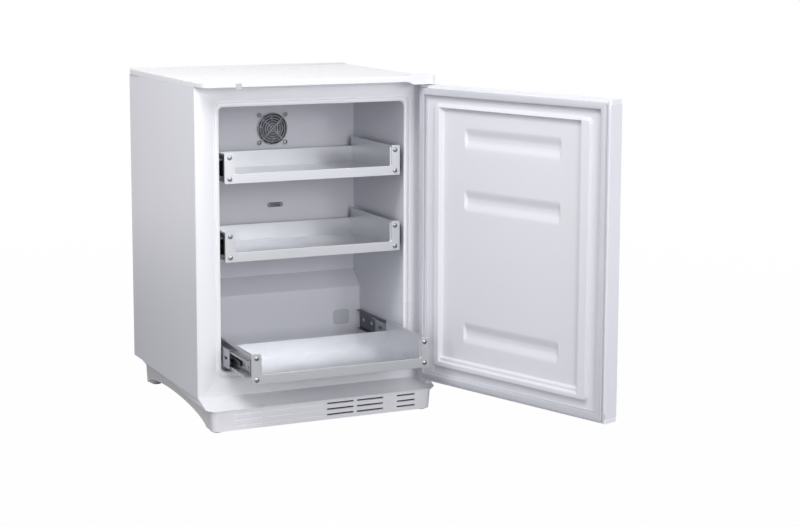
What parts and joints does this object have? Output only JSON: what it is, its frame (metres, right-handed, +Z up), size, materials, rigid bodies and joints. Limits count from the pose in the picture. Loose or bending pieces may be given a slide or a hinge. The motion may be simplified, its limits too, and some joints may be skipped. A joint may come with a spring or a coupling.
{
  "type": "medicine refrigerator",
  "caption": "Small white medicine refrigerator on a moulded base, with a hinged door standing open and U-fronted drawers on telescopic slides.",
  "frame": {"origin": "on the floor under the middle of the front frame's face", "axes": "+X to the right seen from the front, +Y to the rear, +Z up"},
  "size_m": [0.5594, 0.7952, 0.585],
  "materials": {
    "white_enamel": "glossy white coating on steel",
    "white_plastic": "glossy white moulding",
    "liner_plastic": "smooth white lining",
    "foam": "rigid cream foam",
    "drawer_metal": "satin aluminium",
    "slide_steel": "zinc-plated steel",
    "screw_steel": "bright steel",
    "gasket_rubber": "soft white magnetic seal",
    "dark_plastic": "dark moulding",
    "grey_plastic": "grey moulding",
    "black_steel": "black paint",
    "foot_rubber": "dark rubber",
    "fin_aluminium": "plain aluminium"
  },
  "bodies": {
    "cabinet": {"absorber_coil": "black_steel", "absorber_tank": "black_steel", "air_vent": "dark_plastic", "base_pedestal": "white_plastic", "boiler_casing": "black_steel", "boiler_wool": "foam", "bottom_slide_outer_members": "slide_steel", "condenser_fins": "black_steel", "condenser_tube": "black_steel", "control_box": "dark_plastic", "cord_gland": "dark_plastic", "evaporator": "fin_aluminium", "fan_guard": "grey_plastic", "fan_guard_screws": "screw_steel", "fan_housing": "dark_plastic", "foot_pads": "foot_rubber", "front_frame": "liner_plastic", "grille_screen": "dark_plastic", "inner_liner": "liner_plastic", "insulation_foam": "foam", "left_rear_wing": "white_enamel", "left_side_panel": "white_enamel", "lock_keeper": "grey_plastic", "lower_hinge": "white_plastic", "middle_slide_outer_members": "slide_steel", "rear_cover": "white_enamel", "right_rear_wing": "white_enamel", "right_side_panel": "white_enamel", "sensor_cover": "liner_plastic", "top_slide_outer_members": "slide_steel", "unit_straps": "black_steel", "upper_hinge_pin": "slide_steel", "worktop_cover": "white_plastic"},
    "door": {"door_bottom_cap": "white_plastic", "door_foam": "foam", "door_gasket": "gasket_rubber", "door_inner_liner": "liner_plastic", "door_outer_skin": "white_enamel", "door_top_cap": "white_plastic", "hinge_bushes": "grey_plastic"},
    "top_drawer": {"top_drawer_front": "drawer_metal", "top_drawer_screws": "screw_steel", "top_drawer_tray": "drawer_metal", "top_slide_inner_members": "slide_steel"},
    "top_slides": {"top_slide_middle_members": "slide_steel"},
    "middle_drawer": {"middle_drawer_front": "drawer_metal", "middle_drawer_screws": "screw_steel", "middle_drawer_tray": "drawer_metal", "middle_slide_inner_members": "slide_steel"},
    "middle_slides": {"middle_slide_middle_members": "slide_steel"},
    "bottom_drawer": {"bottom_drawer_front": "drawer_metal", "bottom_drawer_screws": "screw_steel", "bottom_drawer_tray": "drawer_metal"},
    "bottom_runners": {"bottom_slide_inner_members": "slide_steel"},
    "bottom_slides": {"bottom_slide_middle_members": "slide_steel"},
    "fan": {"fan_rotor": "dark_plastic"}
  },
  "joints": [
    {"name": "door_hinge", "type": "hinge", "parent": "cabinet", "child": "door", "pos_m": [0.2056, -0.0251, 0.3], "axis": [0, 0, 1], "range_deg": [-108.6, 0]},
    {"name": "top_drawer_slide", "type": "slide", "parent": "cabinet", "child": "top_drawer", "axis": [0, -1, 0], "range_m": [0, 0.18]},
    {"name": "top_slides_travel", "type": "slide", "parent": "cabinet", "child": "top_slides", "axis": [0, -1, 0], "range_m": [0, 0.09]},
    {"name": "middle_drawer_slide", "type": "slide", "parent": "cabinet", "child": "middle_drawer", "axis": [0, -1, 0], "range_m": [0, 0.18]},
    {"name": "middle_slides_travel", "type": "slide", "parent": "cabinet", "child": "middle_slides", "axis": [0, -1, 0], "range_m": [0, 0.09]},
    {"name": "bottom_runners_travel", "type": "slide", "parent": "cabinet", "child": "bottom_runners", "axis": [0, -1, 0], "range_m": [-0.1441, 0]},
    {"name": "bottom_slides_travel", "type": "slide", "parent": "cabinet", "child": "bottom_slides", "axis": [0, -1, 0], "range_m": [-0.0721, 0]},
    {"name": "bottom_drawer_slide", "type": "slide", "parent": "bottom_runners", "child": "bottom_drawer", "axis": [0, -1, 0], "range_m": [0, 0.06]},
    {"name": "fan_spin", "type": "hinge", "parent": "cabinet", "child": "fan", "pos_m": [0.009, 0.2265, 0.477], "axis": [0, -1, 0], "continuous": true}
  ],
  "couplings": [
    {"joint": "top_slides_travel", "follows": "top_drawer_slide", "ratio": 0.5},
    {"joint": "middle_slides_travel", "follows": "middle_drawer_slide", "ratio": 0.5},
    {"joint": "bottom_runners_travel", "follows": "door_hinge", "m_per_rad": 0.075972},
    {"joint": "bottom_slides_travel", "follows": "door_hinge", "m_per_rad": 0.037986}
  ]
}
